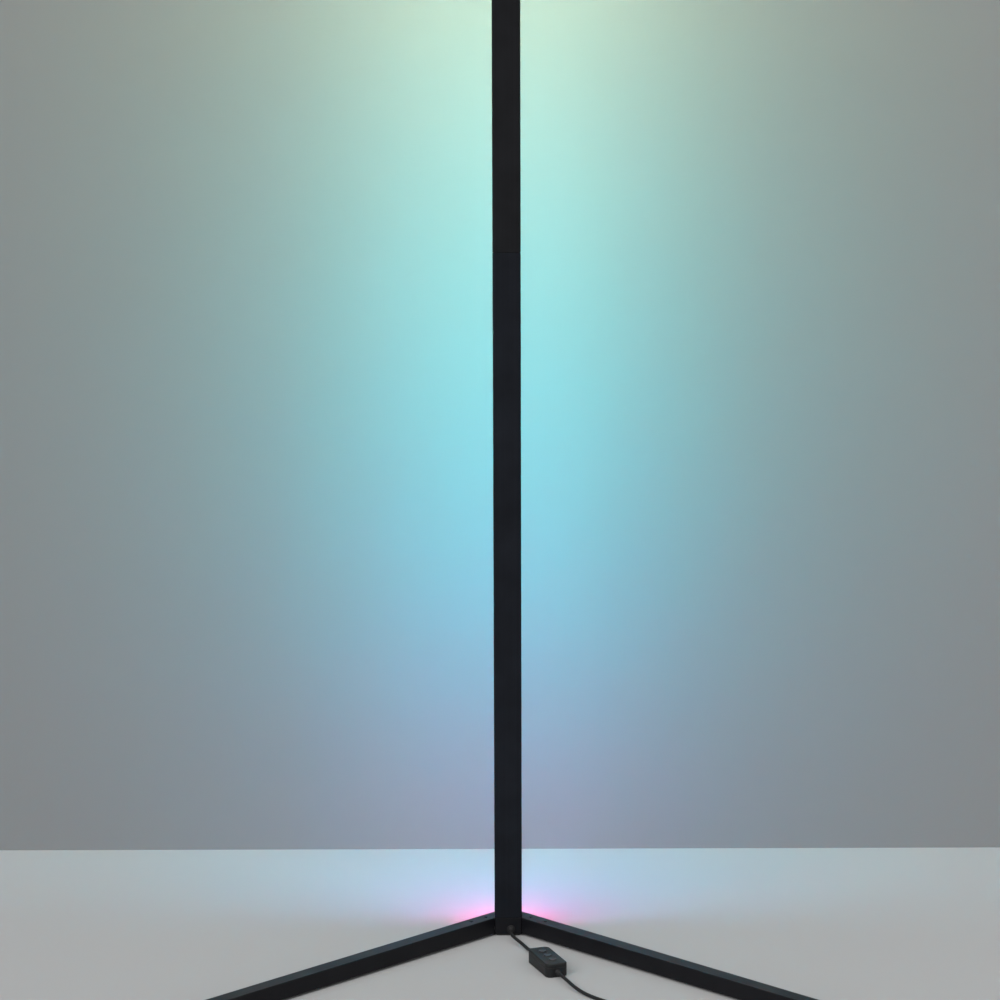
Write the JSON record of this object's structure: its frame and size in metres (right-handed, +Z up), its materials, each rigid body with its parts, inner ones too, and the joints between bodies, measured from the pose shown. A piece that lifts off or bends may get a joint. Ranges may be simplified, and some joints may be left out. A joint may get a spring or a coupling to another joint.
{
  "type": "led floor lamp",
  "caption": "Corner floor lamp: slim square black LED pole in screwed sections on a V-shaped bar foot, lit on its back side, with a cord, inline push-button controller and USB plug.",
  "frame": {"origin": "on the floor under the pole's axis, at the underside of the hub's rubber foot", "axes": "+Z up along the pole, the legs open towards -Y, the light leaves towards +Y, X is left to right"},
  "size_m": [0.4382, 0.2603, 1.4795],
  "materials": {
    "hub_paint": "satin black powder coat",
    "leg_paint": "satin black powder coat",
    "pole_anodised": "black anodised",
    "bar_aluminium": "mill finish",
    "screw_black": "black oxide",
    "foot_rubber": "matt",
    "cap_plastic": "fine grain",
    "diffuser_milk": "milky satin",
    "board_white": "solder mask",
    "led_package": "moulded package",
    "connector_plastic": "moulded",
    "cord_jacket": "satin",
    "cord_moulding": "matt",
    "tie_fabric": "woven strap",
    "case_plastic": "fine grain",
    "button_plastic": "satin",
    "board_laminate": "solder mask",
    "switch_plastic": "moulded",
    "plug_steel": "nickel plated",
    "contact_brass": "gold flash"
  },
  "bodies": {
    "lamp": {"base_hub": "hub_paint", "left_leg": "leg_paint", "right_leg": "leg_paint", "leg_screws": "screw_black", "hub_foot": "foot_rubber", "left_foot": "foot_rubber", "right_foot": "foot_rubber", "pole_screws": "screw_black", "top_cap": "cap_plastic", "cord_gland": "cord_moulding", "inner_lead": "cord_jacket", "lamp_lead": "cord_jacket", "supply_lead": "cord_jacket", "lead_coil": "cord_jacket", "plug_tail": "cord_jacket", "coil_tie": "tie_fabric", "controller_base": "case_plastic", "controller_lid": "case_plastic", "controller_board": "board_laminate", "controller_switches": "switch_plastic", "lamp_side_boot": "cord_moulding", "plug_side_boot": "cord_moulding", "plug_grip": "cord_moulding", "plug_shell": "plug_steel", "plug_tongue": "connector_plastic", "plug_contacts": "contact_brass", "lower_profile": "pole_anodised", "lower_diffuser": "diffuser_milk", "lower_led_board": "board_white", "lower_leds": "led_package", "middle_profile": "pole_anodised", "middle_diffuser": "diffuser_milk", "middle_led_board": "board_white", "middle_leds": "led_package", "upper_profile": "pole_anodised", "upper_diffuser": "diffuser_milk", "upper_led_board": "board_white", "upper_leds": "led_package", "middle_joint_bar": "bar_aluminium", "middle_joint_header": "connector_plastic", "middle_joint_socket": "connector_plastic", "upper_joint_bar": "bar_aluminium", "upper_joint_header": "connector_plastic", "upper_joint_socket": "connector_plastic"},
    "power_key": {"power_button": "button_plastic", "power_plunger": "switch_plastic"},
    "mode_key": {"mode_button": "button_plastic", "mode_plunger": "switch_plastic"},
    "colour_key": {"colour_button": "button_plastic", "colour_plunger": "switch_plastic"}
  },
  "joints": [
    {"name": "power_press", "type": "slide", "parent": "lamp", "child": "power_key", "axis": [0, 0, -1], "range_m": [0, 0.0005], "stiffness_N_per_m": 600, "springref_m": -0.0005},
    {"name": "mode_press", "type": "slide", "parent": "lamp", "child": "mode_key", "axis": [0, 0, -1], "range_m": [0, 0.0005], "stiffness_N_per_m": 600, "springref_m": -0.0005},
    {"name": "colour_press", "type": "slide", "parent": "lamp", "child": "colour_key", "axis": [0, 0, -1], "range_m": [0, 0.0005], "stiffness_N_per_m": 600, "springref_m": -0.0005}
  ]
}
